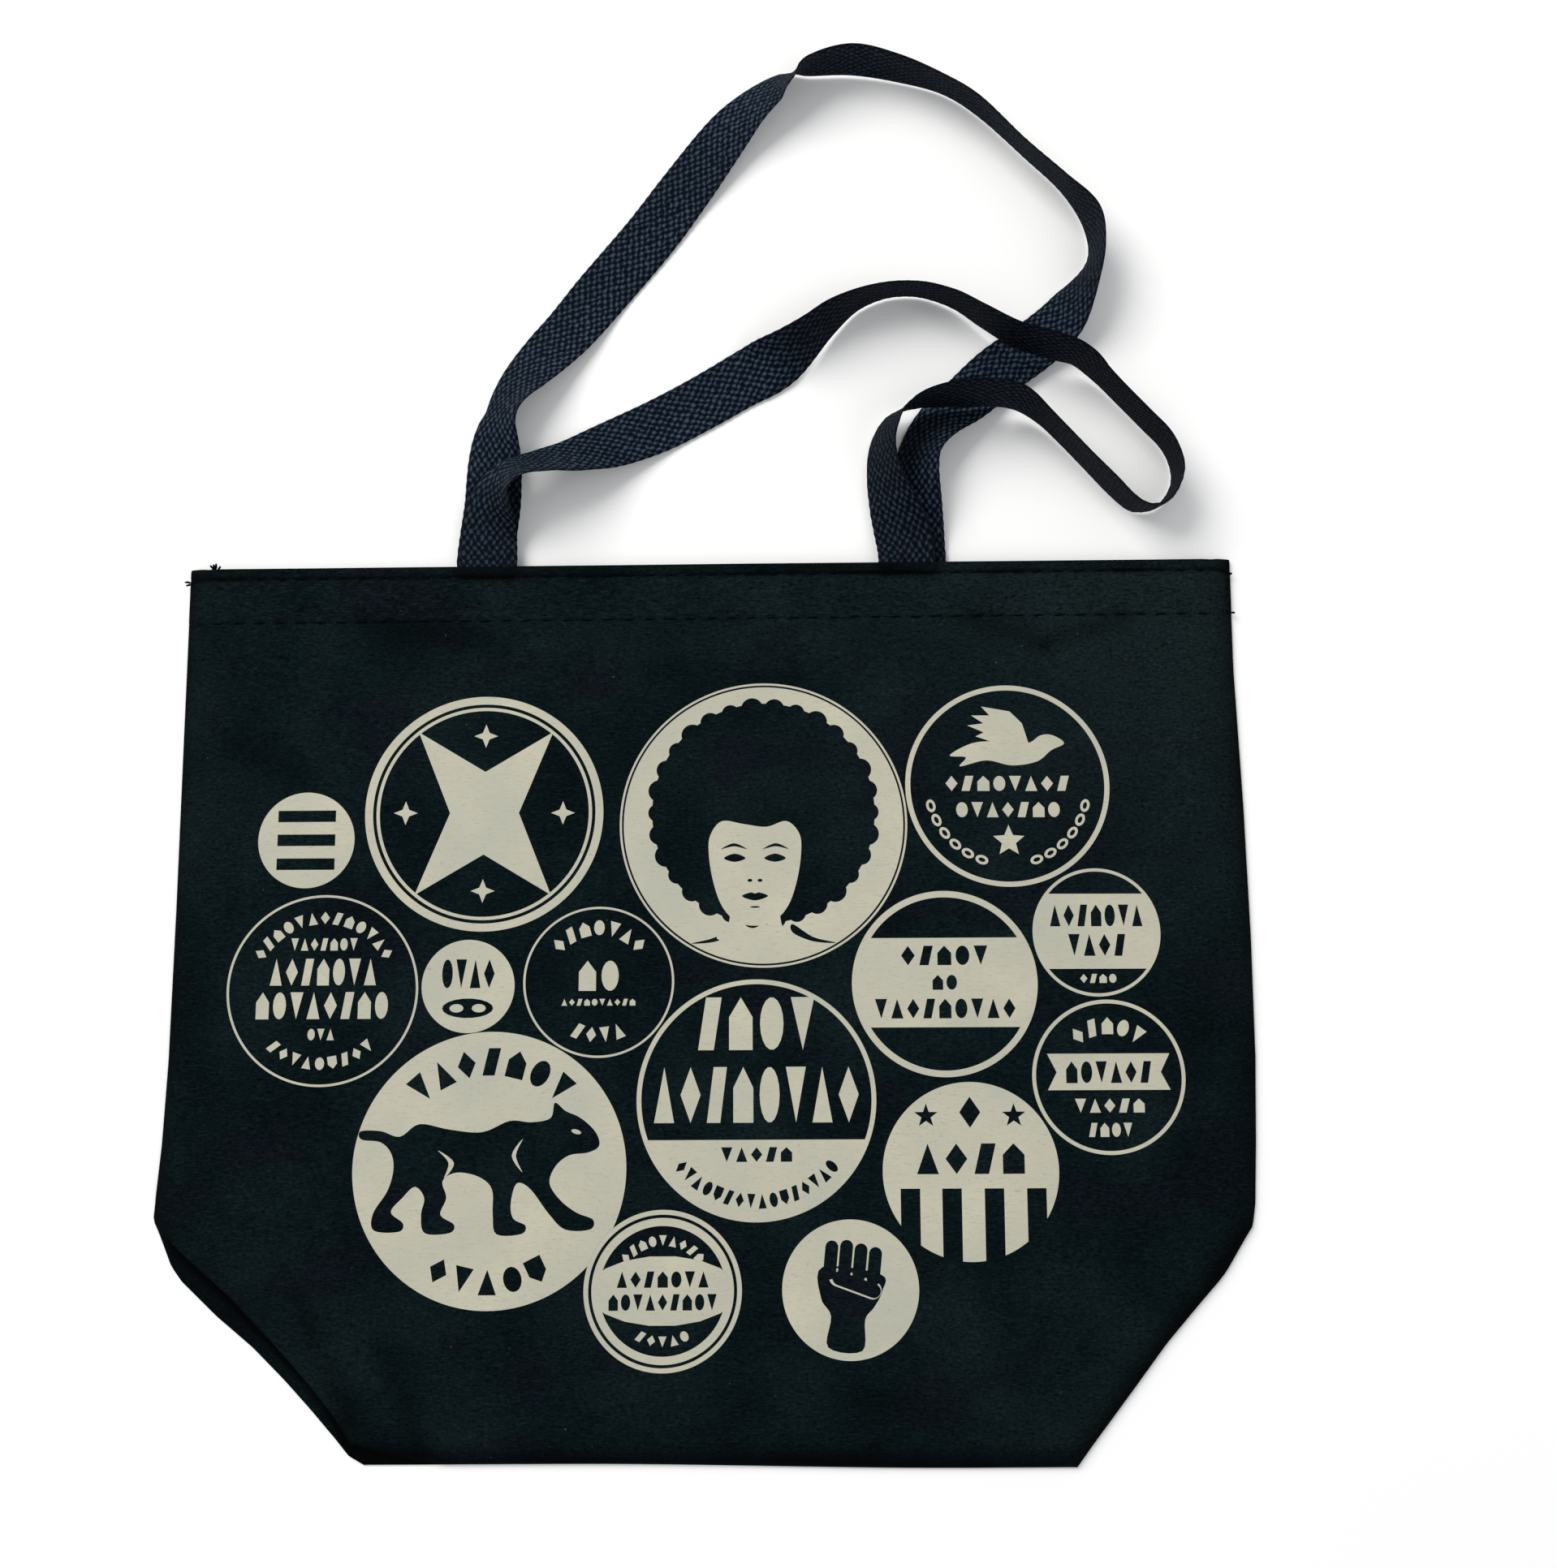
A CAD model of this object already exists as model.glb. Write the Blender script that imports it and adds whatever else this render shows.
import math

import bmesh
import bpy
import numpy as np
from mathutils import Matrix, Vector


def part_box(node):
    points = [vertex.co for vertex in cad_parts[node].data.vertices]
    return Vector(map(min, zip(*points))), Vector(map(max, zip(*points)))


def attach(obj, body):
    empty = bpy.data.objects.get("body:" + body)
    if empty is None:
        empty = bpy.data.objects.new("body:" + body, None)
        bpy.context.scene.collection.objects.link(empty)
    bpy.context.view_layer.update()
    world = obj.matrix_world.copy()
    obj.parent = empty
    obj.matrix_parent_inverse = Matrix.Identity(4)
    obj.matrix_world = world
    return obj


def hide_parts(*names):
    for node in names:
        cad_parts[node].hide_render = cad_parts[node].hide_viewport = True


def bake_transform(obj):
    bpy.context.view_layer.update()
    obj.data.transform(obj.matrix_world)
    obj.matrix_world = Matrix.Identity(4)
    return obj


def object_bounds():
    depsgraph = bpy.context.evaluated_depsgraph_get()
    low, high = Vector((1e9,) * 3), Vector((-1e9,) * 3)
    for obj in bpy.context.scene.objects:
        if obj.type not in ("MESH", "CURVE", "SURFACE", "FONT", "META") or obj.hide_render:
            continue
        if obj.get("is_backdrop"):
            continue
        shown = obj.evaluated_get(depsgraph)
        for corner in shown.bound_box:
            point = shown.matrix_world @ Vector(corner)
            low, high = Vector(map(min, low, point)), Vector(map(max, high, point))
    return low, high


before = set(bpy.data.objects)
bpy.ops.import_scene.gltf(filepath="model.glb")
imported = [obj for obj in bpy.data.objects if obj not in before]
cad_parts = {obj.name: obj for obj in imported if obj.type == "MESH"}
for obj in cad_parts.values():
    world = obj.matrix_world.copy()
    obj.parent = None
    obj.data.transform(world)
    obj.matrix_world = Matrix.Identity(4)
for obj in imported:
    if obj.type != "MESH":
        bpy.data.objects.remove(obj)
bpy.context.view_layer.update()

# A canvas tote bag that lies flat, with two webbing handles loose above its mouth.
# Lengths in this file are in millimetres until a mesh is made. In the flat layout,
# x is across the bag from its middle and y is measured from the mouth, so the bag is
# at negative y and the handles at positive y.

MM = 0.001
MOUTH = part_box("front_panel")[1][1] / MM
PANEL_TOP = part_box("front_hem_stitches")[0][2] / MM

# The canvas: its thickness, half width, bottom edge, and how far the mouth rises to the right
CANVAS_T = 0.7
HALF_W = 228.6
BOTTOM = -379.4
TOP_TILT = 1.7 / HALF_W
WEAVE_PITCH_M = 0.00072

# The hem: its height, its two stitched rows below the mouth, and the stitches' pitch
HEM_H = 25.4
EDGE_ROW = 4.5
HEM_ROW = HEM_H - 1.0
STITCH_PITCH = 9.0

# The webbing: width, thickness, and the spacing of its weave across and along
WEB_W = 25.4
WEB_T = 1.4
COLUMN = 1.65
ROW = 2.2

# The handles: how deep they are sewn in, and where each one leaves the mouth and bends
SEWN_DEPTH = 27.0
HINGE_OUT = 5.0
HINGE_REACH = 4.0
BACK_Z = 2.1
FRONT_Z = 5.9
BACK_ROOTS = (-100.5, 91.5)
FRONT_ROOTS = (-98.5, 86.5)

# ---- Small helpers ----


def smooth_step(t):
    """0 up to t = 0, 1 from t = 1, smooth between them."""
    t = np.clip(t, 0.0, 1.0)
    return t * t * (3 - 2 * t)


def to_frame(points):
    """Flat-layout millimetres to metres in the part's frame."""
    out = np.array(points, float)
    out[..., 1] += MOUTH
    return out * MM


def mesh_object(name, points, faces, material):
    """A smooth mesh object from flat-layout points."""
    mesh = bpy.data.meshes.new(name)
    mesh.from_pydata(to_frame(points).tolist(), [], [list(map(int, f)) for f in faces])
    mesh.polygons.foreach_set("use_smooth", [True] * len(mesh.polygons))
    mesh.materials.append(material)
    mesh.update()
    obj = bpy.data.objects.new(name, mesh)
    bpy.context.scene.collection.objects.link(obj)
    return obj


def catmull(points, per):
    """Stations on a Catmull-Rom curve through the points, some for each span."""
    p = np.array(points, float)
    n = len(p) - 1
    out = []
    for i in range(n):
        a = p[max(i - 1, 0)]
        b = p[i]
        c = p[i + 1]
        d = p[min(i + 2, n)]
        for j in range(per):
            t = j / per
            out.append(
                0.5
                * (
                    2 * b
                    + (c - a) * t
                    + (2 * a - 5 * b + 4 * c - d) * t * t
                    + (3 * b - a - 3 * c + d) * t**3
                )
            )
    out.append(p[n])
    return np.array(out)


def even_steps(line, step):
    """The line again, at even steps along its first three columns."""
    lengths = np.linalg.norm(np.diff(line[:, :3], axis=0), axis=1)
    travel = np.concatenate([[0], np.cumsum(lengths)])
    count = int(round(travel[-1] / step)) + 1
    at = np.linspace(0, travel[-1], count)
    columns = [np.interp(at, travel, line[:, k]) for k in range(line.shape[1])]
    return np.stack(columns, axis=1), at


def unit(v):
    """The vectors at length 1."""
    return v / np.maximum(np.linalg.norm(v, axis=-1, keepdims=True), 1e-9)


def below_mouth(x, y):
    """How far a flat-layout point is below the tilted mouth."""
    return TOP_TILT * x - y


def store(obj, name, kind, field, values):
    """Keeps a value for each point of a mesh, for its material to read."""
    layer = obj.data.attributes.new(name, kind, "POINT")
    layer.data.foreach_set(field, np.ravel(values).astype(np.float32))


# ---- Materials ----

# Colours are linear red, green and blue. Ramps are lists of position and colour.

# Canvas: the dye from dark to light, then what lies over it
CANVAS_DYE = [
    (0.34, (0.0014, 0.0040, 0.0052)),
    (0.48, (0.0020, 0.0060, 0.0075)),
    (0.66, (0.0042, 0.0092, 0.0108)),
]
VIOLET_CAST = (0.0028, 0.0036, 0.0068)
FADED = (0.0082, 0.0142, 0.0152)
SPECKLE = (2.0, 1.85, 1.8)
PIT = (0.35, 0.42, 0.45)
RAISED_WEFT = (0.0105, 0.0180, 0.0190)
WEFT_GAP = (0.0004, 0.0010, 0.0014)
LINT = (0.060, 0.075, 0.078)
FOLD_DARK = (0.0003, 0.0006, 0.0008)

# Ink: the cream from dark to light, over a raised thread, and where it is thin
INK_CREAM = [
    (0.32, (0.425, 0.425, 0.352)),
    (0.5, (0.462, 0.448, 0.356)),
    (0.7, (0.498, 0.478, 0.372)),
]
INK_STREAK = (0.405, 0.398, 0.322)
INK_THIN = (0.20, 0.21, 0.18)

# Webbing: the yarn from its gaps to its tops, its edges, and where it is in shade
YARN = [
    (0.24, (0.0005, 0.0015, 0.0048)),
    (0.52, (0.0033, 0.0076, 0.0156)),
    (0.98, (0.0360, 0.0540, 0.0760)),
]
YARN_EDGE = (0.0013, 0.0024, 0.0058)
YARN_SHADE = (0.0013, 0.0016, 0.0032)
YARN_BRIGHT = (1.3, 1.3, 1.3)

THREAD_TWIST = [(0.3, (0.0003, 0.0004, 0.0006)), (0.7, (0.0018, 0.0022, 0.0028))]
FLOOR_PALE = [(0.3, (0.93, 0.93, 0.925)), (0.7, (0.95, 0.95, 0.945))]


class Paint:
    """A material's node tree, with short ways to add nodes."""

    def __init__(self, name, roughness, specular):
        self.material = bpy.data.materials.new(name)
        self.material.use_nodes = True
        self.tree = self.material.node_tree
        self.shader = self.tree.nodes["Principled BSDF"]
        self.shader.inputs["Roughness"].default_value = roughness
        self.shader.inputs["Specular IOR Level"].default_value = specular

    def put(self, value, socket):
        """Links a socket, or sets a plain value."""
        if isinstance(value, bpy.types.NodeSocket):
            self.tree.links.new(value, socket)
        else:
            socket.default_value = value

    def math(self, operation, a, b=0.0):
        node = self.tree.nodes.new("ShaderNodeMath")
        node.operation = operation
        self.put(a, node.inputs[0])
        self.put(b, node.inputs[1])
        return node.outputs[0]

    def stretch(self, vector, by):
        node = self.tree.nodes.new("ShaderNodeVectorMath")
        node.operation = "MULTIPLY"
        self.put(vector, node.inputs[0])
        node.inputs[1].default_value = by
        return node.outputs[0]

    def split(self, vector):
        node = self.tree.nodes.new("ShaderNodeSeparateXYZ")
        self.put(vector, node.inputs[0])
        return node.outputs

    def noise(self, vector, scale, detail=2.0):
        node = self.tree.nodes.new("ShaderNodeTexNoise")
        self.put(vector, node.inputs["Vector"])
        node.inputs["Scale"].default_value = scale
        node.inputs["Detail"].default_value = detail
        return node.outputs["Fac"]

    def ramp(self, value, stops):
        node = self.tree.nodes.new("ShaderNodeValToRGB")
        self.put(value, node.inputs[0])
        elements = node.color_ramp.elements
        while len(elements) < len(stops):
            elements.new(0.5)
        for e, (position, colour) in zip(elements, stops):
            e.position = position
            e.color = (*colour, 1.0)
        return node.outputs["Color"]

    def step(self, value, low, high):
        """0 below low, 1 above high."""
        node = self.tree.nodes.new("ShaderNodeMapRange")
        node.interpolation_type = "SMOOTHSTEP"
        self.put(value, node.inputs["Value"])
        node.inputs["From Min"].default_value = low
        node.inputs["From Max"].default_value = high
        return node.outputs["Result"]

    def mix(self, factor, a, b, blend="MIX"):
        node = self.tree.nodes.new("ShaderNodeMix")
        node.data_type = "RGBA"
        node.blend_type = blend
        self.put(factor, node.inputs[0])
        self.put((*a, 1.0) if isinstance(a, tuple) else a, node.inputs[6])
        self.put((*b, 1.0) if isinstance(b, tuple) else b, node.inputs[7])
        return node.outputs[2]

    def object_point(self):
        return self.tree.nodes.new("ShaderNodeTexCoord").outputs["Object"]

    def attribute(self, name, output="Vector"):
        node = self.tree.nodes.new("ShaderNodeAttribute")
        node.attribute_name = name
        return node.outputs[output]

    def colour(self, socket):
        self.tree.links.new(socket, self.shader.inputs["Base Color"])

    def bump(self, height, strength, distance):
        node = self.tree.nodes.new("ShaderNodeBump")
        node.inputs["Strength"].default_value = strength
        node.inputs["Distance"].default_value = distance
        self.tree.links.new(height, node.inputs["Height"])
        self.tree.links.new(node.outputs["Normal"], self.shader.inputs["Normal"])


def plain_weave(paint, point, pitch):
    """Height of a plain weave over the XY plane, 0 to 1."""
    x, y, _ = paint.split(paint.stretch(point, (math.pi / pitch,) * 3))
    product = paint.math("MULTIPLY", paint.math("COSINE", x), paint.math("COSINE", y))
    return paint.math("MULTIPLY", paint.math("ADD", product, 1.0), 0.5)


def slubs(paint, point):
    """Uneven weft threads, long in X and one thread high."""
    return paint.noise(paint.stretch(point, (330.0, 2300.0, 60.0)), 1.0, 3.0)


def canvas_material():
    """Dark canvas. The shade attribute darkens it where it is folded, pressed or stitched."""
    paint = Paint("canvas_dark", 0.9, 0.03)
    point = paint.object_point()
    x, y, _ = paint.split(point)
    weave = plain_weave(paint, point, WEAVE_PITCH_M)
    weft = slubs(paint, point)
    warp = paint.noise(paint.stretch(point, (1250.0, 110.0, 60.0)), 1.0, 2.0)
    cloud = paint.noise(point, 21.0, 8.0)
    dyed = paint.ramp(cloud, CANVAS_DYE)
    streaks = paint.noise(paint.stretch(point, (17.0, 31.0, 17.0)), 1.0, 8.0)
    violet = paint.step(streaks, 0.53, 0.64)
    dyed = paint.mix(paint.math("MULTIPLY", violet, 0.6), dyed, VIOLET_CAST)
    high = paint.math("ADD", paint.math("MULTIPLY", x, 0.8), y)
    faded = paint.math("MULTIPLY", paint.step(high, 0.0, 0.28), 0.85)
    worn = paint.mix(faded, dyed, FADED)
    grain = paint.noise(paint.stretch(point, (620.0, 1000.0, 640.0)), 1.0, 3.0)
    speckled = paint.mix(paint.step(grain, 0.5, 0.72), worn, SPECKLE, "MULTIPLY")
    pitted = paint.mix(paint.step(grain, 0.46, 0.32), speckled, PIT, "MULTIPLY")
    hem = paint.step(y, (MOUTH - HEM_H - 1.5) * MM, (MOUTH - HEM_H + 1.5) * MM)
    often = paint.math("ADD", paint.math("MULTIPLY", hem, 0.3), 0.42)
    rib = paint.math("MULTIPLY", paint.step(weft, 0.52, 0.72), often)
    ribbed = paint.mix(rib, pitted, RAISED_WEFT)
    gap = paint.math("MULTIPLY", paint.step(weft, 0.46, 0.3), often)
    ribbed = paint.mix(gap, ribbed, WEFT_GAP)
    fluff = paint.noise(paint.stretch(point, (420.0, 520.0, 420.0)), 1.0, 2.0)
    dusty = paint.mix(paint.step(fluff, 0.77, 0.82), ribbed, LINT)
    uneven = paint.math("ADD", paint.math("MULTIPLY", cloud, -1.3), 1.65)
    shade = paint.math("MULTIPLY", paint.attribute("shade", "Fac"), uneven)
    clipped = paint.math("MINIMUM", shade, 0.97)
    paint.colour(paint.mix(clipped, dusty, FOLD_DARK))
    crossed = paint.math("MULTIPLY", weave, 0.5)
    height = paint.math("ADD", crossed, paint.math("MULTIPLY", weft, 0.8))
    height = paint.math("ADD", height, paint.math("MULTIPLY", warp, 0.5))
    paint.bump(height, 0.6, 0.0003)
    return paint.material


def ink_material():
    """Cream screen ink on the weave, thin over some of the hollows."""
    paint = Paint("ink_cream", 0.85, 0.05)
    point = paint.object_point()
    weave = plain_weave(paint, point, WEAVE_PITCH_M)
    weft = slubs(paint, point)
    patches = paint.noise(point, 30.0, 4.0)
    grain = paint.noise(point, 900.0, 3.0)
    tone = paint.ramp(patches, INK_CREAM)
    streaked = paint.mix(paint.step(weft, 0.52, 0.72), tone, INK_STREAK)
    thin = paint.math("MULTIPLY", paint.step(grain, 0.6, 0.78), paint.step(weft, 0.3, 0.6))
    paint.colour(paint.mix(paint.math("MULTIPLY", thin, 0.55), streaked, INK_THIN))
    crossed = paint.math("MULTIPLY", weave, 0.3)
    height = paint.math("ADD", crossed, paint.math("MULTIPLY", weft, 0.7))
    paint.bump(height, 0.4, 0.00022)
    return paint.material


def webbing_material():
    """Navy webbing. It is darker by the mouth and where the strap stands on its edge.

    The weave attribute holds rows along, columns across, and which side of the strap it is.
    """
    paint = Paint("webbing_navy", 0.75, 0.05)
    weave = paint.attribute("weave")
    along, across, side = paint.split(weave)
    slack = paint.noise(paint.stretch(weave, (0.55, 0.55, 1.0)), 1.0, 2.0)
    loose = paint.noise(paint.stretch(weave, (0.7, 0.45, 1.0)), 1.0, 2.0)
    along = paint.math("ADD", along, paint.math("MULTIPLY", slack, 1.5))
    wide = paint.math("ADD", across, paint.math("MULTIPLY", loose, 1.3))
    u = paint.math("COSINE", paint.math("MULTIPLY", along, math.pi))
    v = paint.math("COSINE", paint.math("MULTIPLY", wide, math.pi))
    product = paint.math("MULTIPLY", paint.math("MULTIPLY", u, v), side)
    bumps = paint.math("MULTIPLY", paint.math("ADD", product, 1.0), 0.5)
    strands = paint.noise(paint.stretch(weave, (2.2, 7.0, 1.0)), 1.0, 3.0)
    drift = paint.noise(paint.stretch(weave, (0.05, 0.12, 1.0)), 1.0, 3.0)
    single = paint.noise(paint.stretch(weave, (0.9, 0.9, 1.0)), 1.0, 1.0)
    broken = paint.math("ADD", single, paint.math("MULTIPLY", strands, 0.6))
    uneven = paint.math("MULTIPLY", paint.math("SUBTRACT", broken, 0.8), 0.75)
    yarn = paint.ramp(paint.math("ADD", bumps, uneven), YARN)
    edge = paint.step(paint.math("ABSOLUTE", across), 6.6, 7.7)
    shaded = paint.mix(paint.math("MULTIPLY", edge, 0.6), yarn, YARN_EDGE)
    _, y, _ = paint.split(paint.object_point())
    near = paint.step(y, (MOUTH + 62) * MM, (MOUTH + 6) * MM)
    steep = paint.step(paint.attribute("shade", "Fac"), 0.45, 0.95)
    near = paint.math("MULTIPLY", near, 0.42)
    steep = paint.math("MULTIPLY", steep, 0.52)
    shaded = paint.mix(paint.math("MAXIMUM", near, steep), shaded, YARN_SHADE)
    paint.colour(paint.mix(paint.step(drift, 0.35, 0.75), shaded, YARN_BRIGHT, "MULTIPLY"))
    height = paint.math("ADD", bumps, paint.math("MULTIPLY", strands, 0.35))
    paint.bump(height, 0.8, 0.0004)
    return paint.material


def thread_material():
    """Black twisted thread."""
    paint = Paint("thread_black", 0.8, 0.02)
    point = paint.object_point()
    twist = paint.noise(paint.stretch(point, (2600.0, 900.0, 900.0)), 1.0, 2.0)
    paint.colour(paint.ramp(twist, THREAD_TWIST))
    paint.bump(twist, 0.6, 0.00015)
    return paint.material


def floor_material():
    """A plain pale floor."""
    paint = Paint("floor_pale", 0.95, 0.0)
    soft = paint.noise(paint.object_point(), 3.0, 2.0)
    paint.colour(paint.ramp(soft, FLOOR_PALE))
    return paint.material


CANVAS = canvas_material()
INK = ink_material()
WEBBING = webbing_material()
THREAD = thread_material()

# ---- Camera, light and floor ----


LENS = 42.73
CAMERA_PLACE = (0.026, -0.1681, 0.8006)
CAMERA_TILT = 9.94
CAMERA_LEAN = -0.19
CAMERA_ROLL = -0.259

FLOOR_HALF = 9000.0
FLOOR_CELLS = 12
FLOOR_GAP = 0.3


def add_camera():
    """Almost straight above the bag."""
    data = bpy.data.cameras.new("camera")
    data.lens = LENS
    data.sensor_width = 36.0
    data.sensor_fit = "AUTO"
    data.clip_start = 0.01
    camera = bpy.data.objects.new("camera", data)
    turn = (
        Matrix.Rotation(math.radians(CAMERA_ROLL), 4, "Z")
        @ Matrix.Rotation(math.radians(CAMERA_LEAN), 4, "Y")
        @ Matrix.Rotation(math.radians(CAMERA_TILT), 4, "X")
    )
    camera.matrix_world = Matrix.Translation(CAMERA_PLACE) @ turn
    bpy.context.scene.collection.objects.link(camera)
    bpy.context.scene.camera = camera


def add_light(name, place, size, energy, colour):
    """A square soft light that faces the origin."""
    data = bpy.data.lights.new(name, "AREA")
    data.size = size
    data.energy = energy
    data.color = colour
    lamp = bpy.data.objects.new(name, data)
    lamp.location = place
    lamp.rotation_euler = (-Vector(place)).to_track_quat("-Z", "Y").to_euler()
    bpy.context.scene.collection.objects.link(lamp)


def add_floor():
    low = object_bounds()[0][2] / MM - FLOOR_GAP
    line = np.linspace(-FLOOR_HALF, FLOOR_HALF, FLOOR_CELLS + 1)
    points = [(x, y, low) for y in line for x in line]
    faces = []
    for r in range(FLOOR_CELLS):
        for c in range(FLOOR_CELLS):
            a = r * (FLOOR_CELLS + 1) + c
            b = a + FLOOR_CELLS + 1
            faces.append((a, a + 1, b + 1, b))
    floor = mesh_object("floor", points, faces, floor_material())
    floor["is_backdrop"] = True
    return floor


add_camera()
add_light("window", (-1.5, 1.4, 2.3), 1.9, 76.0, (1.0, 0.985, 0.96))
add_light("fill", (1.5, -1.2, 2.4), 2.4, 19.0, (0.96, 0.98, 1.0))
world = bpy.data.worlds.new("room")
world.use_nodes = True
sky = world.node_tree.nodes["Background"]
sky.inputs["Color"].default_value = (0.97, 0.985, 1.0, 1.0)
sky.inputs["Strength"].default_value = 0.5
bpy.context.scene.world = world
bpy.context.scene.view_settings.view_transform = "Standard"
FLOOR = add_floor()

# ---- The outline and height of the front panel ----

# Each side from the mouth down, as (y, x): nearly straight, then the cut-off corner
LEFT_SIDE = [
    (0, -231), (-150, -230), (-215, -230), (-250, -231), (-272, -232.5), (-281, -232),
    (-286, -229), (-295, -219), (-313, -198), (-331, -180), (-348, -164), (-359, -155),
    (-367, -150), (-372, -147), (-375, -137), (-377.5, -122), (BOTTOM, -109)
]
RIGHT_SIDE = [
    (0, 230.5), (-48, 230), (-110, 231.5), (-165, 232), (-215, 231.5), (-250, 230),
    (-275, 228.5), (-284, 227), (-290, 223), (-301, 216), (-305, 213), (-314, 204.5),
    (-331, 189), (-348, 175.5), (-371, 157), (BOTTOM, 150.5)
]
# The back panel's own edge at the lower left, where it shows past the front panel
BACK_LEFT_SIDE = [
    (0, -231), (-150, -230), (-215, -230), (-250, -231), (-272, -232.5), (-281, -233),
    (-286, -230.5), (-300, -224.5), (-306, -220), (-320, -205), (-333, -189),
    (-346, -175.5), (-358, -164), (-369, -154), (-376, -148), (BOTTOM, -142)
]


SIDE_STEPS = 190
BOTTOM_STEPS = 60


def side_at(side, y):
    """How far across a side is at y."""
    line = np.array(sorted(side))
    return np.interp(y, line[:, 0], line[:, 1])


def place(x, y):
    """Tilts the mouth and drops the right of the bottom edge a little, as the bag lies."""
    down = smooth_step(-np.asarray(y) / -BOTTOM)
    low_right = smooth_step((x + 60) / 170)
    return y + TOP_TILT * x * (1 - down) - 2.3 * low_right * down


def outline_points(left, right):
    """The sides and the bottom as one line, from the top left round to the top right."""
    ys = np.linspace(0, BOTTOM, SIDE_STEPS)
    xl = side_at(left, ys)
    xr = side_at(right, ys)
    bottom_x = np.linspace(xl[-1], xr[-1], BOTTOM_STEPS)
    down = np.stack([xl, place(xl, ys)], axis=1)
    across = np.stack([bottom_x, place(bottom_x, np.full(BOTTOM_STEPS, BOTTOM))], axis=1)
    up = np.stack([xr, place(xr, ys)], axis=1)[::-1]
    return np.concatenate([down, across[1:-1], up])


FRONT_LINE = outline_points(LEFT_SIDE, RIGHT_SIDE)
SLICE = 4000


def edge_distance(x, y, line):
    """Distance from points to a line, worked out a slice at a time."""
    p = np.stack([np.ravel(x), np.ravel(y)], axis=1)
    a = line[:-1]
    d = line[1:] - a
    length2 = np.maximum((d * d).sum(1), 1e-9)
    best = np.empty(len(p))
    for k in range(0, len(p), SLICE):
        part = p[k:k + SLICE, None, :] - a[None]
        t = np.clip((part * d[None]).sum(2) / length2[None], 0, 1)
        gap = part - t[..., None] * d[None]
        best[k:k + SLICE] = np.sqrt((gap * gap).sum(2).min(1))
    return best.reshape(np.shape(x))


def folded_corner(x, y):
    """1 along the lower left corner, where the front's fold stands off the back panel."""
    return smooth_step((-x - 142) / 20) * smooth_step((-y - 282) / 14) * smooth_step((y + 376) / 8)


def handle_root(x):
    """1 across each end of the front handle, where the hem is sewn down harder."""
    near = np.minimum(np.abs(x - FRONT_ROOTS[0]), np.abs(x - FRONT_ROOTS[1]))
    return smooth_step((WEB_W / 2 + 4 - near) / 5)


def from_line(x, y, start, end):
    """How far along a line each point is, 0 to 1 between its ends, and how far from it."""
    run = np.array(end, float) - start
    t = ((x - start[0]) * run[0] + (y - start[1]) * run[1]) / (run @ run)
    held = np.clip(t, 0, 1)
    return t, np.hypot(x - start[0] - held * run[0], y - start[1] - held * run[1])


# Soft creases in the front: from, to, width and height
CREASES = [
    ((-225, -262), (-150, -300), 9, 0.9),
    ((-222, -285), (-120, -352), 7, -0.8),
    ((-212, -240), (-120, -262), 12, 0.6),
    ((-205, -120), (-214, -215), 14, 0.5),
    ((222, -262), (150, -296), 10, 0.8),
    ((214, -292), (120, -345), 8, -0.8),
    ((205, -235), (128, -300), 13, 0.5),
    ((216, -40), (190, -150), 14, 0.7),
    ((226, -120), (170, -185), 12, -0.6),
    ((-40, -348), (60, -352), 9, 0.5),
    ((-130, -40), (-20, -46), 10, 0.5),
    ((60, -44), (190, -52), 11, 0.5),
    ((112, -24), (146, -36), 5, -0.5),
    ((146, -36), (182, -24), 4.5, -0.5),
    ((-170, -312), (-146, -360), 6, -0.7),
]


def front_height(x, y):
    """Height of the front panel's outer face at flat-layout points."""
    x = np.asarray(x, float)
    y = np.asarray(y, float)
    d = edge_distance(x, y, FRONT_LINE)

    # The puffed shape, with a raised fold along the lower left corner
    puff = np.sin(np.clip(d / 15.0, 0, 1) * math.pi / 2) ** 0.75
    edge_z = 1.5 + 2.6 * folded_corner(x, y)
    ridge = 0.9 * folded_corner(x, y) * np.exp(-(((d - 6) / 3.5) ** 2))
    z = edge_z + (PANEL_TOP - edge_z) * puff + ridge

    # Waves and creases, flatter by the hem
    inside = smooth_step((d - 3) / 22)
    wave = (
        0.32 * np.sin(x / 41 + y / 97 + 0.6)
        + 0.26 * np.sin(y / 33 - x / 120 + 2.1)
        + 0.2 * np.sin(x / 19 + y / 23 + 1.3)
        + 0.14 * np.sin(x / 13 - y / 15)
    )
    for start, end, width, height in CREASES:
        t, off = from_line(x, y, start, end)
        wave = wave + height * np.exp(-((off / width) ** 2)) * smooth_step(1.2 - np.abs(2 * t - 1))
    z = z + wave * inside
    below = below_mouth(x, y)
    z = z - wave * inside * smooth_step((44 - below) / 20) * 0.75

    # The hem's second layer, and the two rows that pull it in
    z = z + 0.35 * smooth_step((HEM_H + 0.5 - below) / 1.4)
    for row in (EDGE_ROW, HEM_ROW):
        off = below - row
        pull = 0.72 + 0.28 * np.cos(2 * math.pi * x / STITCH_PITCH)
        z = z - 0.6 * pull * np.exp(-((off / 0.8) ** 2))
        pucker = 0.10 * np.cos(2 * math.pi * x / STITCH_PITCH + 0.4 * np.sin(x / 31))
        z = z + pucker * np.exp(-((off / 4.5) ** 2))
    return z


# ---- Cloth ----


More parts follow.
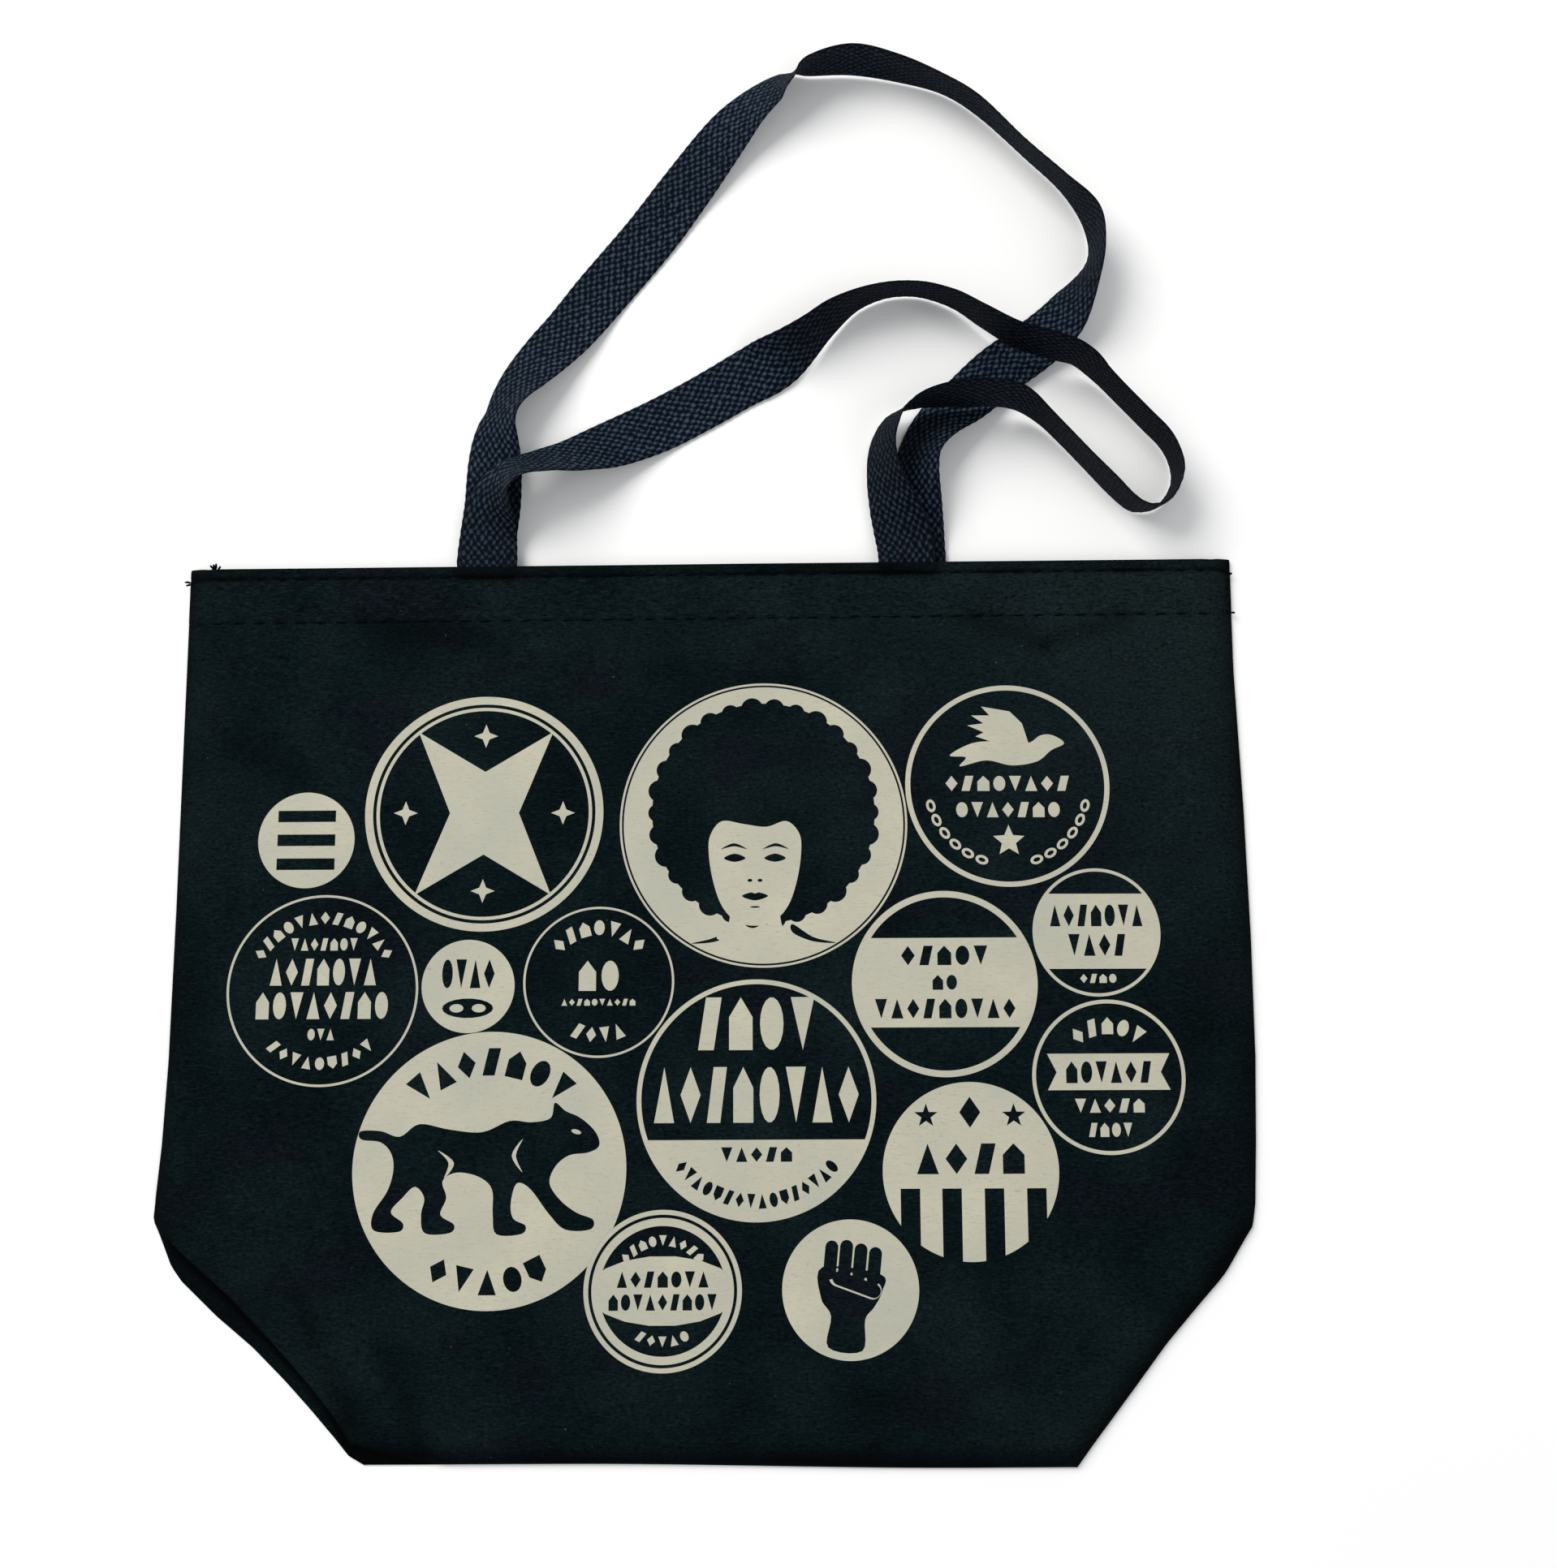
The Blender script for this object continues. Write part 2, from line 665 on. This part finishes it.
def closed_sheet(name, top, bottom, material):
    """A sheet of cloth between two grids of points, with a rounded rim."""
    rows, cols = top.shape[:2]
    inner = rows * cols
    grid = np.arange(inner).reshape(rows, cols)
    ring = [(0, c) for c in range(cols - 1)]
    ring += [(r, cols - 1) for r in range(rows - 1)]
    ring += [(rows - 1, c) for c in range(cols - 1, 0, -1)]
    ring += [(r, 0) for r in range(rows - 1, 0, -1)]
    at = np.array(ring)
    inward = np.clip(at, 1, [rows - 2, cols - 2])
    high = top[at[:, 0], at[:, 1]]
    low = bottom[at[:, 0], at[:, 1]]
    middle = (high + low) / 2
    out = unit(high - top[inward[:, 0], inward[:, 1]])
    half = np.linalg.norm(high - low, axis=1, keepdims=True) / 2
    loops = [grid[at[:, 0], at[:, 1]]]
    points = [top.reshape(-1, 3), bottom.reshape(-1, 3)]
    start = 2 * inner
    for angle in (0.25 * math.pi, 0.5 * math.pi, 0.75 * math.pi):
        points.append(middle + math.cos(angle) * (high - middle) + math.sin(angle) * half * out)
        loops.append(np.arange(start, start + len(at)))
        start += len(at)
    loops.append(grid[at[:, 0], at[:, 1]] + inner)
    a = grid[:-1, :-1].ravel()
    b = grid[:-1, 1:].ravel()
    c = grid[1:, 1:].ravel()
    d = grid[1:, :-1].ravel()
    faces = [np.stack([a, b, c, d], 1), np.stack([a, d, c, b], 1) + inner]
    for upper, lower in zip(loops[:-1], loops[1:]):
        faces.append(np.stack([upper, lower, np.roll(lower, -1), np.roll(upper, -1)], 1))
    return mesh_object(name, np.concatenate(points), np.concatenate(faces), material)


def spaced(low, high, step, edge, edge_step):
    """Places from low to high, closer together near both ends."""
    near = np.arange(0, edge, edge_step)
    count = max(2, int(round((high - low - 2 * edge) / step)))
    middle = np.linspace(low + edge, high - edge, count)
    return np.concatenate([low + near, middle, (high - near)[::-1]])


def panel_grid(left, right, rows):
    """Flat-layout x and y of a panel's grid, from the bottom to the mouth."""
    across = spaced(0.0, 1.0, 0.0062, 0.045, 0.0028)
    xl = side_at(left, rows)[:, None]
    xr = side_at(right, rows)[:, None]
    x = xl + (xr - xl) * across[None]
    y = place(x, np.repeat(rows[:, None], len(across), 1))
    return x, y


def panel_rows(fine):
    """Rows of a panel from the bottom to the mouth, close at the bottom and the stitching."""
    bottom = np.arange(BOTTOM, BOTTOM + 18, 0.9)
    body = np.arange(BOTTOM + 18, -31, 2.4)
    hem = np.arange(-31, 0, fine)
    return np.concatenate([bottom, body, hem, [0.0]])


def set_shade(obj, shade_at):
    """Stores how dark the cloth is at each point, 0 to 1."""
    points = np.empty(len(obj.data.vertices) * 3)
    obj.data.vertices.foreach_get("co", points)
    points = points.reshape(-1, 3) / MM
    shade = np.clip(shade_at(points[:, 0], points[:, 1] - MOUTH), 0, 1)
    store(obj, "shade", "FLOAT", "value", shade)
    return obj


# Soft dark dents in the front: from, to, width and depth of tone
DENTS = [
    ((-170, -312), (-146, -360), 6, 0.42),
    ((-134, -334), (-116, -374), 6, 0.36),
    ((-152, -26), (-92, -36), 7, 0.36),
    ((-206, -80), (-180, -92), 9, 0.36),
    ((112, -24), (146, -36), 5, 0.34),
    ((146, -36), (182, -24), 4.5, 0.34),
    ((-40, -46), (38, -52), 6, 0.2),
    ((206, -205), (196, -262), 8, 0.3),
    ((60, -352), (128, -366), 6, 0.26),
    ((222, -292), (152, -380), 7, 0.5),
]


def front_shade(x, y):
    """Dark at the folded borders, in the dents, between the mouth and the stitching."""
    d = edge_distance(x, y, FRONT_LINE)
    below = below_mouth(x, y)
    stitch_turn = 2 * math.pi * x / STITCH_PITCH
    border = 0.72 * np.exp(-d / 2.2) + 0.3 * np.exp(-d / 8.0)
    shade = border * (1 - 0.95 * folded_corner(x, y))
    for start, end, width, depth in DENTS:
        _, off = from_line(x, y, start, end)
        shade = shade + depth * np.exp(-((off / width) ** 2))
    band = smooth_step((EDGE_ROW + 0.6 - below) / 1.6)
    shade = shade + band * (0.42 + 0.12 * np.sin(x / 23) + 0.1 * np.sin(x / 61 + 1))
    upper = np.exp(-(((below - EDGE_ROW) / 1.0) ** 2)) * (0.5 + 0.16 * np.sin(x / 9))
    lower = np.exp(-(((below - HEM_ROW) / 0.5) ** 2))
    dashes = 0.55 + 0.3 * np.cos(stitch_turn) + 0.15 * np.sin(x / 13)
    shade = shade + upper + 0.6 * lower * dashes
    shade = shade + 0.35 * handle_root(x) * smooth_step((8.5 - below) / 2)
    return shade + 0.4 * (1 - smooth_step((y - BOTTOM - 2) / 8))


def back_shade(x, y):
    """Dark where the back panel shows past the front's fold."""
    inner = edge_distance(x, y, FRONT_LINE)
    left = smooth_step((-x - 90) / 12) * smooth_step((-y - 282) / 14)
    low = smooth_step((-y - 371) / 4)
    return left * (0.46 + 1.2 * np.exp(-((inner / 2.6) ** 2)) + 0.5 * low)


def front_panel():
    """The canvas front, thicker along its hem, with its mouth edge rolled over."""
    x, y = panel_grid(LEFT_SIDE, RIGHT_SIDE, panel_rows(0.4))
    z = front_height(x, y)
    below = below_mouth(x, y)
    sunk = PANEL_TOP - z
    y = y + 0.3 * sunk * smooth_step((60 - below) / 50) * smooth_step(sunk / 1.5)
    rolled = EDGE_ROW * 0.45
    fold = smooth_step((rolled - below) / rolled)
    z = z - 0.45 * fold**2
    hem = smooth_step((HEM_H - below) / 1.0)
    thick = CANVAS_T * (1 + 1.2 * hem * smooth_step((z - 3) / 3))
    top = np.stack([x, y, z], axis=2)
    bottom = np.stack([x, y, z - thick], axis=2)
    return set_shade(closed_sheet("front_panel_cloth", top, bottom, CANVAS), front_shade)


def back_panel():
    """The canvas back, flat on the floor, raised a little along the lower left corner."""
    x, y = panel_grid(BACK_LEFT_SIDE, RIGHT_SIDE, panel_rows(1.2))
    below = below_mouth(x, y)
    corner = smooth_step((-x - 130) / 60) * smooth_step((below - 270) / 30)
    d = edge_distance(x, y, outline_points(BACK_LEFT_SIDE, RIGHT_SIDE))
    lift = 0.12 * (1 + np.sin(x / 37 + y / 29)) * smooth_step(d / 20)
    z = CANVAS_T + lift + 0.9 * corner * np.exp(-((d - 5) / 3.2) ** 2)
    hem = smooth_step((HEM_H - below) / 1.0) * smooth_step((d - 8) / 8)
    top = np.stack([x, y, z + CANVAS_T * hem], axis=2)
    bottom = np.stack([x, y, z - CANVAS_T], axis=2)
    return set_shade(closed_sheet("back_panel_cloth", top, bottom, CANVAS), back_shade)


def folded_base():
    """The base of the bag, folded up between the panels into a flat U."""
    low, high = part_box("bottom_gusset")
    low_y = low[1] / MM - MOUTH + 1.5
    fold_y = high[1] / MM - MOUTH - 4.0
    half = high[0] / MM
    middle_z = 4.0
    turn_r = 2.6
    turn = [
        (fold_y + turn_r * math.sin(a), middle_z - turn_r * math.cos(a))
        for a in np.linspace(0, math.pi, 13)[1:-1]
    ]
    runs = np.linspace(low_y, fold_y, 30)
    under = [(y, middle_z - turn_r) for y in runs]
    over = [(y, middle_z + turn_r) for y in runs[::-1]]
    line = np.array(under + turn + over)
    along = np.gradient(line, axis=0)
    normal = unit(np.stack([-along[:, 1], along[:, 0]], axis=1))
    xs = spaced(-half, half, 5.0, 6.0, 2.0)
    top = np.zeros((len(line), len(xs), 3))
    bottom = np.zeros_like(top)
    for grid, side in ((top, 1), (bottom, -1)):
        edge = line + side * normal * 0.3
        grid[..., 0] = xs[None]
        grid[..., 1] = edge[:, :1] + 0.6 * np.sin(xs / 33)[None]
        grid[..., 2] = edge[:, 1:]
    return closed_sheet("base_cloth", top, bottom, CANVAS)


# Seam strips, as drawn on the left: the side's x, the cut corner's ends, which way is
# inward there, and how far in the left strip (False) and the mirrored one (True) are set
SIDE_SEAM_X = -217.6
CORNER_SEAM = ((-216.5, -297.0), (-150.5, -374.5))
CORNER_INWARD = (0.776, 0.631)
CORNER_INSET = {False: 12.0, True: 4.5}
SEAM_W = 9.0
SEAM_Z = 1.62
SEAM_HALF_T = 0.5


def seam_allowance(node, corner, mirror):
    """A seam's edges, turned inside the bag: a narrow strip with a wavy cut side."""
    low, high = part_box(node)
    if corner:
        start = np.array(CORNER_SEAM[0])
        end = start + (np.array(CORNER_SEAM[1]) - start) * 0.95
        out = np.array(CORNER_INWARD)
        start = start + out * CORNER_INSET[mirror]
        end = end + out * CORNER_INSET[mirror]
    else:
        start = np.array([SIDE_SEAM_X, high[1] / MM - MOUTH])
        end = np.array([SIDE_SEAM_X, low[1] / MM - MOUTH])
        out = np.array([1.0, 0.0])
    t = np.linspace(0, 1, 90)
    s = np.linspace(-0.5, 0.5, 9)
    length = np.linalg.norm(end - start)
    wave = 0.5 * np.sin(t * length / 5.3) + 0.3 * np.sin(t * length / 2.9)
    xy = start + t[:, None, None] * (end - start) + s[None, :, None] * SEAM_W * out
    xy = xy + (np.maximum(s, 0)[None, :, None] * wave[:, None, None]) * out
    lift = 0.12 * np.sin(t * length / 8.0)[:, None] * (s[None] + 0.5)
    z = SEAM_Z + lift
    if mirror:
        xy[..., 0] *= -1
    top = np.concatenate([xy, (z + SEAM_HALF_T)[..., None]], axis=2)
    bottom = np.concatenate([xy, (z - SEAM_HALF_T)[..., None]], axis=2)
    if not mirror:
        top, bottom = top[:, ::-1], bottom[:, ::-1]
    return closed_sheet(node + "_strip", top[::-1], bottom[::-1], CANVAS)


# ---- Thread ----

# Radii of the threads, and half the length of a stitch
STITCH_R = 0.34
TACK_R = 0.22
TUFT_R = 0.5
OVERCAST_R = 0.3
STITCH_HALF = 2.5
TACK_TURNS = 22
SEAM_STITCHES = 6
CLEAR_OF_HANDLE = WEB_W / 2 + 4
BACK_HEM_Z = 1.55


def tube(points, radii, sides=6):
    """Points and faces of a round thread along a line, closed at both ends."""
    p = np.array(points, float)
    along = unit(np.gradient(p, axis=0))
    level = np.cross(along, [0.0, 0.0, 1.0])
    level = unit(np.where(np.abs(level).max(1, keepdims=True) > 1e-6, level, [1.0, 0.0, 0.0]))
    up = np.cross(level, along)
    angle = np.arange(sides) * 2 * math.pi / sides
    ring = np.cos(angle)[None, :, None] * level[:, None] + np.sin(angle)[None, :, None] * up[:, None]
    verts = (p[:, None] + ring * np.array(radii)[:, None, None]).reshape(-1, 3)
    faces = []
    for i in range(len(p) - 1):
        for k in range(sides):
            a = i * sides + k
            b = i * sides + (k + 1) % sides
            faces.append((a, b, b + sides, a + sides))
    faces.append(tuple(range(sides))[::-1])
    last = (len(p) - 1) * sides
    faces.append(tuple(range(last, last + sides)))
    return verts, faces


def thread_object(name, lines):
    """One object from many short threads, each a list of points and a radius."""
    verts = []
    faces = []
    count = 0
    for points, radius in lines:
        n = len(points)
        taper = np.sin(np.linspace(0.12, 0.88, n) * math.pi) ** 0.4
        v, f = tube(points, radius * taper)
        verts.append(v)
        faces += [tuple(i + count for i in face) for face in f]
        count += len(v)
    return mesh_object(name, np.concatenate(verts), faces, THREAD)


def stitch_line(x0, x1, below, height_at):
    """One stitch between two holes, sunk at both ends."""
    t = np.linspace(0, 1, 7)
    x = x0 + (x1 - x0) * t
    y = TOP_TILT * x - below + 0.12 * np.sin(x * 0.7)
    z = height_at(x, y) + 0.34 * np.sin(t * math.pi) - 0.16
    return np.stack([x, y, z], axis=1)


def hem_stitches(name, height_at, skip=()):
    """Both rows of a hem, left out where a handle is in front of them."""
    lines = []
    count = int((HALF_W - 8) // STITCH_PITCH)
    for below in (EDGE_ROW, HEM_ROW):
        for i in range(-count, count + 1):
            middle = i * STITCH_PITCH
            if any(abs(middle - x) < CLEAR_OF_HANDLE for x in skip):
                continue
            stitch = stitch_line(middle - STITCH_HALF, middle + STITCH_HALF, below, height_at)
            lines.append((stitch, STITCH_R))
    return thread_object(name, lines)


def handle_tacks():
    """A close zigzag over each end of the front handle, on the edge row."""
    lines = []
    turns = np.arange(TACK_TURNS + 1)
    for root in FRONT_ROOTS:
        x = root - WEB_W / 2 + 1 + turns * (WEB_W - 2) / TACK_TURNS
        below = EDGE_ROW + np.where(turns % 2 == 0, -0.9, 1.1)
        for k in range(TACK_TURNS):
            t = np.linspace(0, 1, 5)
            px = x[k] + (x[k + 1] - x[k]) * t
            py = TOP_TILT * px - (below[k] + (below[k + 1] - below[k]) * t)
            pz = front_height(px, py) + 0.26 + 0.12 * np.sin(t * math.pi)
            lines.append((np.stack([px, py, pz], axis=1), TACK_R))
    return thread_object("front_handle_tack_threads", lines)


def thread_ends():
    """Loose ends at the top corners, and a few close stitches down the right side."""
    # Each end's start, direction and length
    starts = [
        ((-219, -0.9), (0.2, 1.0), 2.6), ((-220.0, -0.9), (-0.5, 0.9), 1.9),
        ((-218.0, -0.9), (0.8, 0.7), 1.9), ((-219.4, -0.9), (-0.1, 1.0), 2.2),
        ((-231.0, -5.8), (-1.0, 0.1), 1.9), ((-230.8, -6.6), (-0.9, -0.4), 1.6),
        ((229.6, -3.6), (0.9, 0.4), 1.6), ((230.0, -21.0), (1.0, -0.2), 1.5),
        ((225.5, -24.0), (0.3, 1.0), 5.0), ((226.6, -23.0), (0.2, 1.0), 4.0),
        ((224.5, -3.0), (1.0, 0.1), 4.0), ((225.5, -1.8), (1.0, -0.2), 3.0)
    ]
    lines = []
    for (x, y), (dx, dy), length in starts:
        t = np.linspace(0, 1, 7)
        px = x + dx * length * t + 0.3 * np.sin(t * 4)
        py = y + dy * length * t
        ground = 2.4 + 3.8 * (abs(x) < 224)
        lines.append((np.stack([px, py, ground + 0.9 * np.sin(t * 2.6)], axis=1), TUFT_R))
    for k in range(SEAM_STITCHES):
        y = np.linspace(-2.0 - 3.6 * k, -3.8 - 3.6 * k, 5)
        x = np.full(5, 228.4) + 0.4 * np.sin(y)
        z = front_height(x, y) + 0.15
        lines.append((np.stack([x, y, z], axis=1), OVERCAST_R))
    return thread_object("thread_end_tufts", lines)


# ---- Webbing ----

# Middle line of each handle as it lies: x, y, z, and the roll in degrees by which the
# side on the right of the travel is lifted. These are the CAD model's own routes.
BACK_ROUTE = [
    (BACK_ROOTS[0], HINGE_OUT, BACK_Z, 0), (-99.5, 16, 1.6, 0), (-98, 30, 1.4, 2),
    (-97.5, 41, 2.2, 6), (-97, 50, 3.8, 13), (-96, 61, 7.6, 31), (-94, 70, 10, 45),
    (-89.5, 80, 8.8, 38), (-83, 89.5, 6.8, 26), (-73.5, 101.5, 4.2, 14),
    (-63.5, 113.5, 2.4, 7), (-50, 131.5, 1, 0), (-29, 158, 1, 0), (-13, 180.5, 1.6, 4),
    (6, 206.5, 4.6, 17), (17.5, 219, 7.4, 30), (28, 227.5, 9, 40), (36, 232.5, 11.8, 58),
    (44, 236.5, 13.4, 80), (64, 239.5, 13.8, 92), (85, 235.5, 13.4, 88),
    (106, 227.5, 13.4, 80), (123, 216, 13.4, 81), (143, 195.5, 13.4, 79),
    (160.5, 178, 13.4, 82), (172.5, 161.5, 13.4, 96), (174, 144.5, 13.2, 101),
    (166.5, 127.5, 11.3, 127), (159, 116, 6.4, 154), (147, 105, 3.2, 170),
    (130, 92.5, 2.4, 173), (114.5, 78, 4.4, 164), (101.5, 66, 7.6, 149), (93.5, 54, 9.4, 138),
    (91, 43, 8.8, 142), (90.5, 28, 5.4, 160), (91, 14, 2.8, 175),
    (BACK_ROOTS[1], HINGE_OUT, BACK_Z, 180)
]
FRONT_ROUTE = [
    (FRONT_ROOTS[0], HINGE_OUT, FRONT_Z, 0), (-98.5, 15, 7, 4), (-97, 26, 11.4, 22),
    (-92.5, 35.5, 17.6, 42), (-85, 41, 21.8, 50), (-74.5, 44.5, 18.8, 46),
    (-61.5, 49, 12.4, 33), (-45.5, 56.5, 5.6, 14), (-24.5, 67, 1.4, 2), (-4.5, 78, 1, 0),
    (13.5, 88.5, 1.8, -4), (24.5, 93, 6, -24), (34.5, 98, 10.4, -46), (44.5, 105.5, 12.8, -64),
    (54.5, 114.5, 13.2, -76), (66, 122, 13.4, -90), (78, 126.2, 13.4, -97),
    (89, 127.2, 13.4, -99), (98.5, 125.8, 13.6, -98), (109.5, 121, 15, -96),
    (121.5, 112, 18, -91), (136.5, 102, 20.4, -87), (152.5, 96.5, 21.2, -85),
    (163.5, 92.8, 19.8, -88), (173, 86.5, 15.4, -91), (183, 76.5, 13.6, -92),
    (193.5, 65, 13.4, -92), (201.5, 56, 13.4, -92), (205.5, 47.5, 13.4, -91),
    (206.5, 39, 13.4, -88), (203.5, 31, 13.4, -84), (198.5, 25.5, 13.4, -80),
    (192, 24, 13.4, -80), (185.5, 26.5, 13.4, -86), (177.5, 34.5, 13.5, -89),
    (167.5, 45.5, 13.5, -88), (157, 57, 14, -88), (147, 66.5, 15.8, -89),
    (136.5, 72.8, 19, -95), (125.5, 74.5, 21.6, -98), (112.5, 74, 22, -97),
    (100.5, 73, 21, -92), (90, 70.5, 19, -82), (81.5, 65.5, 17.4, -70), (77, 57.5, 16.4, -66),
    (75.5, 49, 15.8, -63), (76.5, 39, 14.8, -57), (79.5, 29, 12.6, -45), (83, 20, 9.6, -27),
    (85.5, 12, 7, -9), (FRONT_ROOTS[1], HINGE_OUT, FRONT_Z, 0)
]


def with_sewn_ends(route):
    """The route with a straight run into the bag at both ends."""
    first = route[0]
    last = route[-1]
    depths = (-SEWN_DEPTH, -SEWN_DEPTH / 2, -2.0)
    start = [(first[0], y, first[2], first[3]) for y in depths]
    end = [(last[0], y, last[2], last[3]) for y in depths[::-1]]
    return start + route + end


def webbing_strap(name, route):
    """A woven strap along the route; returns the object and its length."""
    line, travel = even_steps(catmull(with_sewn_ends(route), 24), ROW / 2)
    middle = line[:, :3]
    roll = np.radians(line[:, 3])[:, None]
    along = unit(np.gradient(middle, axis=0))
    level = unit(np.stack([along[:, 1], -along[:, 0], np.zeros(len(along))], axis=1))
    raised = np.cross(level, along)
    across = np.cos(roll) * level + np.sin(roll) * raised
    up = np.cross(across, along)

    # The weave: rows along the strap and columns across it
    columns = int(WEB_W / COLUMN)
    s = np.linspace(-columns, columns, 2 * columns + 1) / columns
    column = s * columns / 2
    row = travel / ROW
    pattern = np.cos(math.pi * row)[:, None] * np.cos(math.pi * column)[None]
    edge = np.sqrt(np.clip(1 - np.abs(s) ** 7, 0, 1))

    # Rings round the strap: the upper face, one tip, the lower face, the other tip
    rings = []
    weave = []
    pick = 0.12 * np.cos(math.pi * row)
    for side in (1, -1):
        reach = s[::side] * (WEB_W / 2 - 0.3)
        relief = (0.76 + 0.24 * side * pattern[:, ::side]) * (0.35 + 0.65 * edge[::side])
        offset = side * relief * WEB_T / 2
        ring = (
            middle[:, None]
            + across[:, None] * reach[None, :, None]
            + up[:, None] * offset[..., None]
        )
        tip = middle + across * (side * (WEB_W / 2 - 0.05) + side * pick)[:, None]
        rings += [ring, tip[:, None]]
        sides = np.full((len(row), len(s)), float(side))
        rows = np.repeat(row[:, None], len(s), 1)
        cols = np.repeat(column[::side][None], len(row), 0)
        weave.append(np.stack([rows, cols, sides], axis=2))
        tip_col = np.full(len(row), side * (columns / 2 + 0.4))
        weave.append(np.stack([row, tip_col, np.full(len(row), float(side))], axis=1)[:, None])

    # Faces between the rings, then over both ends
    points = np.concatenate(rings, axis=1)
    cells = np.concatenate(weave, axis=1)
    n, m = points.shape[:2]
    index = np.arange(n * m).reshape(n, m)
    a = index[:-1]
    b = index[1:]
    quads = np.stack([a, np.roll(a, -1, 1), np.roll(b, -1, 1), b], axis=2).reshape(-1, 4)
    faces = [tuple(q) for q in quads]
    span = len(s)
    for ring, flip in ((index[0], False), (index[-1], True)):
        for k in range(span - 1):
            quad = (ring[k], ring[2 * span - k], ring[2 * span - k - 1], ring[k + 1])
            faces.append(quad[::-1] if flip else quad)
        near = (ring[2 * span + 1], ring[2 * span], ring[0])
        far = (ring[span - 1], ring[span + 1], ring[span])
        faces.append(near[::-1] if flip else near)
        faces.append(far[::-1] if flip else far)
    strap = mesh_object(name, points.reshape(-1, 3), faces, WEBBING)
    store(strap, "weave", "FLOAT_VECTOR", "vector", cells)
    store(strap, "shade", "FLOAT", "value", np.repeat(np.abs(across[:, 2:]), m, 1))
    return strap, travel[-1]


# ---- Print ----

PRINT_CELL = 4.0 * MM
PRINT_OUT = 0.12


def conformed_print(node):
    """A printed badge cut into small cells and laid on the front panel."""
    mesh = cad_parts[node].data.copy()
    mesh.name = node + "_ink"
    mesh.materials.clear()
    mesh.materials.append(INK)
    work = bmesh.new()
    work.from_mesh(mesh)
    bmesh.ops.remove_doubles(work, verts=work.verts, dist=1e-6)
    low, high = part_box(node)
    for axis in (0, 1):
        normal = [0.0, 0.0, 0.0]
        normal[axis] = 1.0
        first = math.ceil(low[axis] / PRINT_CELL)
        cuts = np.arange(first, math.ceil(high[axis] / PRINT_CELL))
        for k in cuts:
            spot = [0.0, 0.0, 0.0]
            spot[axis] = float(k) * PRINT_CELL
            everything = [*work.verts, *work.edges, *work.faces]
            bmesh.ops.bisect_plane(work, geom=everything, plane_co=spot, plane_no=normal)
    work.to_mesh(mesh)
    work.free()
    points = np.empty(len(mesh.vertices) * 3)
    mesh.vertices.foreach_get("co", points)
    points = points.reshape(-1, 3)
    is_top = points[:, 2] > (low[2] + high[2]) / 2
    ground = front_height(points[:, 0] / MM, points[:, 1] / MM - MOUTH)
    points[:, 2] = (ground + np.where(is_top, PRINT_OUT, -PRINT_OUT)) * MM
    mesh.vertices.foreach_set("co", points.ravel())
    mesh.polygons.foreach_set("use_smooth", [False] * len(mesh.polygons))
    mesh.update()
    obj = bpy.data.objects.new(node + "_ink", mesh)
    bpy.context.scene.collection.objects.link(obj)
    return obj


# ---- Make the bag ----


def settle(obj, slot, *nodes, body="bag"):
    """Rides on its body, takes its slot and stands for its CAD nodes."""
    if body:
        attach(obj, body)
    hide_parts(*nodes)
    return obj


front = settle(front_panel(), "canvas", "front_panel")
back = settle(back_panel(), "canvas", "back_panel")
base = settle(folded_base(), "canvas", "bottom_gusset")
seams = [
    settle(seam_allowance("left_side_seam", False, False), "canvas", "left_side_seam"),
    settle(seam_allowance("right_side_seam", False, True), "canvas", "right_side_seam"),
    settle(seam_allowance("left_corner_seam", True, False), "canvas", "left_corner_seam"),
    settle(seam_allowance("right_corner_seam", True, True), "canvas", "right_corner_seam"),
]
front_rows = settle(
    hem_stitches("front_hem_threads", front_height), "thread", "front_hem_stitches"
)
back_rows = settle(
    hem_stitches("back_hem_threads", lambda x, y: np.full_like(x, BACK_HEM_Z), BACK_ROOTS),
    "thread",
    "back_hem_stitches",
)
tacks = settle(handle_tacks(), "thread", "front_handle_tacks")
ends = settle(thread_ends(), "thread", "thread_ends")
prints = [
    settle(conformed_print(node), "ink", node)
    for node in sorted(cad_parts)
    if node.startswith("print_")
]

front_strap, front_length = webbing_strap("front_handle_webbing", FRONT_ROUTE)
back_strap, back_length = webbing_strap("back_handle_webbing", BACK_ROUTE)
settle(front_strap, "webbing", "front_handle", "front_handle_sewn_ends", body=None)
settle(back_strap, "webbing", "back_handle", "back_handle_sewn_ends", body=None)
for strap, body, z in ((front_strap, "front_strap", FRONT_Z), (back_strap, "back_strap", BACK_Z)):
    start = to_frame((0.0, HINGE_OUT - HINGE_REACH, z))
    end = to_frame((0.0, HINGE_OUT + HINGE_REACH, z))
    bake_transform(strap)

for node in sorted(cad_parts):
    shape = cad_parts[node]
    if not shape.hide_render:
        shape.data.materials.clear()
        shape.data.materials.append(CANVAS)
